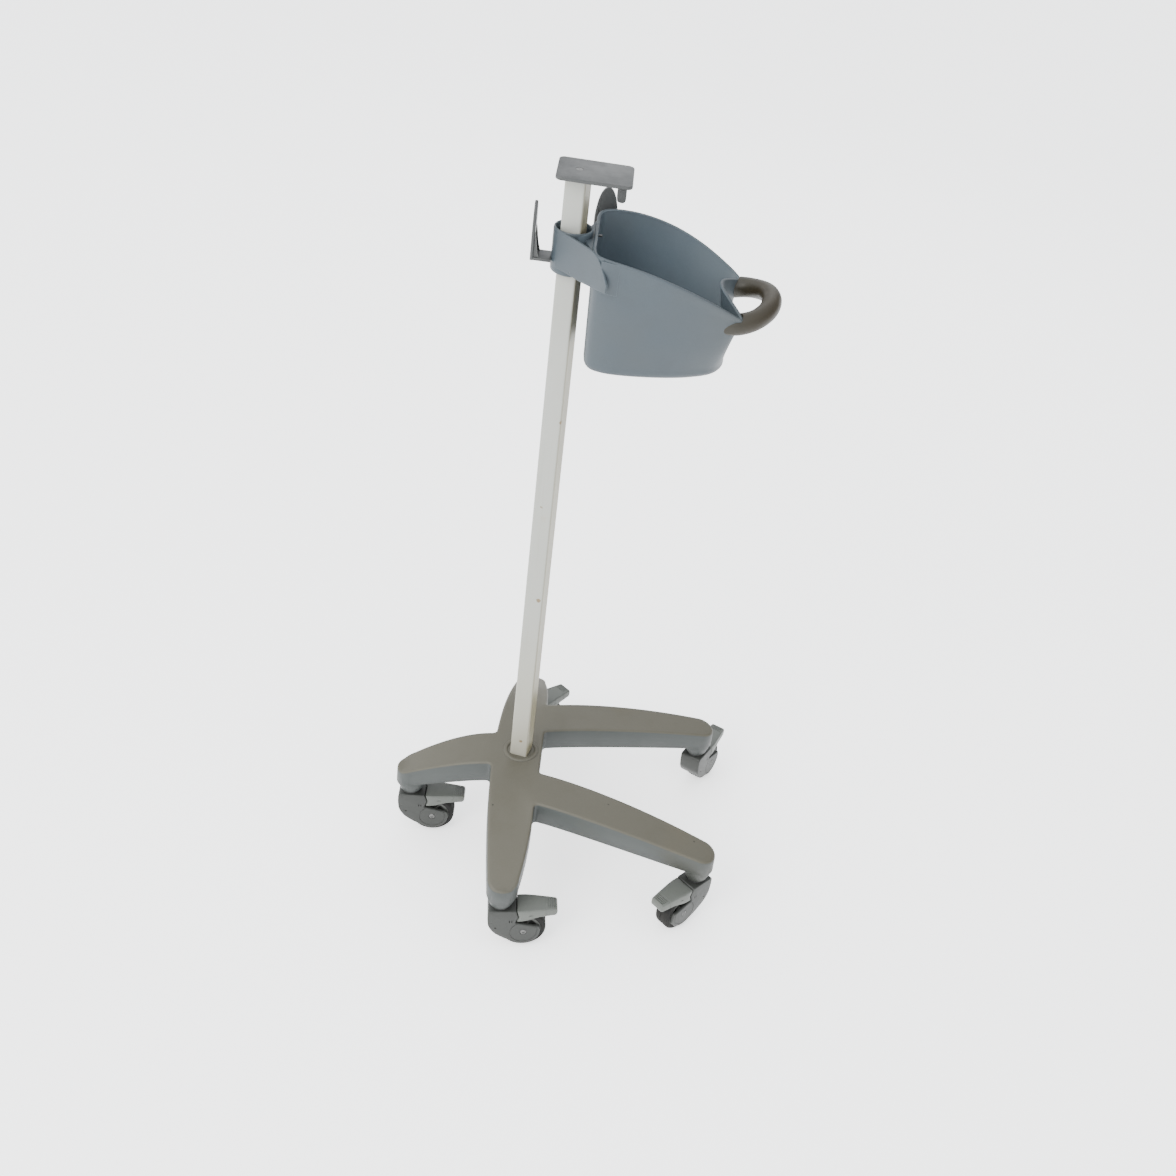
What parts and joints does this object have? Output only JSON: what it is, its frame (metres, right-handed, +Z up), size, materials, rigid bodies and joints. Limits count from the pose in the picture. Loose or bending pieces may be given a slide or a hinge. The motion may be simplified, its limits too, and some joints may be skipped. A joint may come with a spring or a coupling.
{
  "type": "wheeled equipment stand",
  "caption": "Mobile equipment stand: low star base on braked swivel casters, square pole, swivelling utility basket with grab handle, cable hooks and a small top plate.",
  "frame": {"origin": "middle of the stand's footprint, on the floor", "axes": "+Z up along the pole; +X towards the front, the way the basket's handle points; +Y to the left of someone facing +X"},
  "size_m": [0.5831, 0.5925, 1.2495],
  "materials": {
    "base_plastic": "satin grey-brown moulded or coated",
    "pole_paint": "satin off-white powder coat",
    "caster_plastic": "satin grey moulding",
    "tyre": "matt black tread",
    "rim_plastic": "dark grey moulding",
    "steel": "zinc plated",
    "basket_plastic": "fine matt blue-grey moulding",
    "handle_plastic": "taupe soft-touch moulding",
    "liner_plastic": "dark plain bearing plastic",
    "mount_metal": "grey powder coat"
  },
  "bodies": {
    "stand": {"base_shell": "base_plastic", "pole_foot_ring": "base_plastic", "base_bolt": "steel", "pole_foot_plug": "steel", "pole": "pole_paint", "pole_top_plug": "mount_metal", "device_plate": "mount_metal", "plate_screw": "steel", "lever_ear_near": "mount_metal", "lever_ear_far": "mount_metal", "lever_pin": "steel", "stem_left": "steel", "swivel_race_left": "liner_plastic", "stem_near": "steel", "swivel_race_near": "liner_plastic", "stem_front_near": "steel", "swivel_race_front_near": "liner_plastic", "stem_front_far": "steel", "swivel_race_front_far": "liner_plastic", "stem_far": "steel", "swivel_race_far": "liner_plastic"},
    "caster_left": {"housing_left": "caster_plastic", "axle_left": "steel"},
    "wheel_body_left": {"tyre_left": "tyre", "wheel_left": "rim_plastic"},
    "pedal_body_left": {"brake_pedal_left": "caster_plastic"},
    "caster_near": {"housing_near": "caster_plastic", "axle_near": "steel"},
    "wheel_body_near": {"tyre_near": "tyre", "wheel_near": "rim_plastic"},
    "pedal_body_near": {"brake_pedal_near": "caster_plastic"},
    "caster_front_near": {"housing_front_near": "caster_plastic", "axle_front_near": "steel"},
    "wheel_body_front_near": {"tyre_front_near": "tyre", "wheel_front_near": "rim_plastic"},
    "pedal_body_front_near": {"brake_pedal_front_near": "caster_plastic"},
    "caster_front_far": {"housing_front_far": "caster_plastic", "axle_front_far": "steel"},
    "wheel_body_front_far": {"tyre_front_far": "tyre", "wheel_front_far": "rim_plastic"},
    "pedal_body_front_far": {"brake_pedal_front_far": "caster_plastic"},
    "caster_far": {"housing_far": "caster_plastic", "axle_far": "steel"},
    "wheel_body_far": {"tyre_far": "tyre", "wheel_far": "rim_plastic"},
    "pedal_body_far": {"brake_pedal_far": "caster_plastic"},
    "liner": {"collar_liner": "liner_plastic"},
    "basket": {"basket_shell": "basket_plastic", "basket_handle": "handle_plastic", "basket_collar": "basket_plastic", "basket_screw_near": "steel", "basket_screw_far": "steel", "side_hook": "mount_metal", "rear_hook": "mount_metal"},
    "lever": {"release_lever": "mount_metal"}
  },
  "joints": [
    {"name": "swivel_left", "type": "hinge", "parent": "stand", "child": "caster_left", "pos_m": [-0.266, -0.0238, 0.087], "axis": [0, 0, 1], "continuous": true},
    {"name": "roll_left", "type": "hinge", "parent": "caster_left", "child": "wheel_body_left", "pos_m": [-0.22702, -0.02244, 0.0365], "axis": [-0.0349, 0.9994, 0], "continuous": true},
    {"name": "brake_left", "type": "hinge", "parent": "caster_left", "child": "pedal_body_left", "pos_m": [-0.24152, -0.02295, 0.0565], "axis": [-0.0349, 0.9994, 0], "range_deg": [0, 7]},
    {"name": "swivel_near", "type": "hinge", "parent": "stand", "child": "caster_near", "pos_m": [-0.085, -0.2708, 0.087], "axis": [0, 0, 1], "continuous": true},
    {"name": "roll_near", "type": "hinge", "parent": "caster_near", "child": "wheel_body_near", "pos_m": [-0.04621, -0.26672, 0.0365], "axis": [-0.1045, 0.9945, 0], "continuous": true},
    {"name": "brake_near", "type": "hinge", "parent": "caster_near", "child": "pedal_body_near", "pos_m": [-0.06063, -0.26824, 0.0565], "axis": [-0.1045, 0.9945, 0], "range_deg": [0, 7]},
    {"name": "swivel_front_near", "type": "hinge", "parent": "stand", "child": "caster_front_near", "pos_m": [0.235, -0.1818, 0.087], "axis": [0, 0, 1], "continuous": true},
    {"name": "roll_front_near", "type": "hinge", "parent": "caster_front_near", "child": "wheel_body_front_near", "pos_m": [0.20695, -0.20889, 0.0365], "axis": [0.6947, -0.7193, 0], "continuous": true},
    {"name": "brake_front_near", "type": "hinge", "parent": "caster_front_near", "child": "pedal_body_front_near", "pos_m": [0.21738, -0.19882, 0.0565], "axis": [0.6947, -0.7193, 0], "range_deg": [0, 7]},
    {"name": "swivel_front_far", "type": "hinge", "parent": "stand", "child": "caster_front_far", "pos_m": [0.235, 0.1342, 0.087], "axis": [0, 0, 1], "continuous": true},
    {"name": "roll_front_far", "type": "hinge", "parent": "caster_front_far", "child": "wheel_body_front_far", "pos_m": [0.2545, 0.16798, 0.0365], "axis": [-0.866, 0.5, 0], "continuous": true},
    {"name": "brake_front_far", "type": "hinge", "parent": "caster_front_far", "child": "pedal_body_front_far", "pos_m": [0.24725, 0.15542, 0.0565], "axis": [-0.866, 0.5, 0], "range_deg": [0, 7]},
    {"name": "swivel_far", "type": "hinge", "parent": "stand", "child": "caster_far", "pos_m": [-0.085, 0.2232, 0.087], "axis": [0, 0, 1], "continuous": true},
    {"name": "roll_far", "type": "hinge", "parent": "caster_far", "child": "wheel_body_far", "pos_m": [-0.05742, 0.25078, 0.0365], "axis": [-0.7071, 0.7071, 0], "continuous": true},
    {"name": "brake_far", "type": "hinge", "parent": "caster_far", "child": "pedal_body_far", "pos_m": [-0.06768, 0.24052, 0.0565], "axis": [-0.7071, 0.7071, 0], "range_deg": [0, 7]},
    {"name": "basket_height", "type": "slide", "parent": "stand", "child": "liner", "axis": [0, 0, 1], "range_m": [-0.25, 0.03]},
    {"name": "basket_swivel", "type": "hinge", "parent": "liner", "child": "basket", "pos_m": [-0.085, -0.0238, 1.13], "axis": [0, 0, 1], "range_deg": [-35, 35]},
    {"name": "lever_pull", "type": "hinge", "parent": "stand", "child": "lever", "pos_m": [-0.0245, -0.0238, 1.2375], "axis": [0, 1, 0], "range_deg": [0, 25], "stiffness_Nm_per_rad": 0.02}
  ]
}
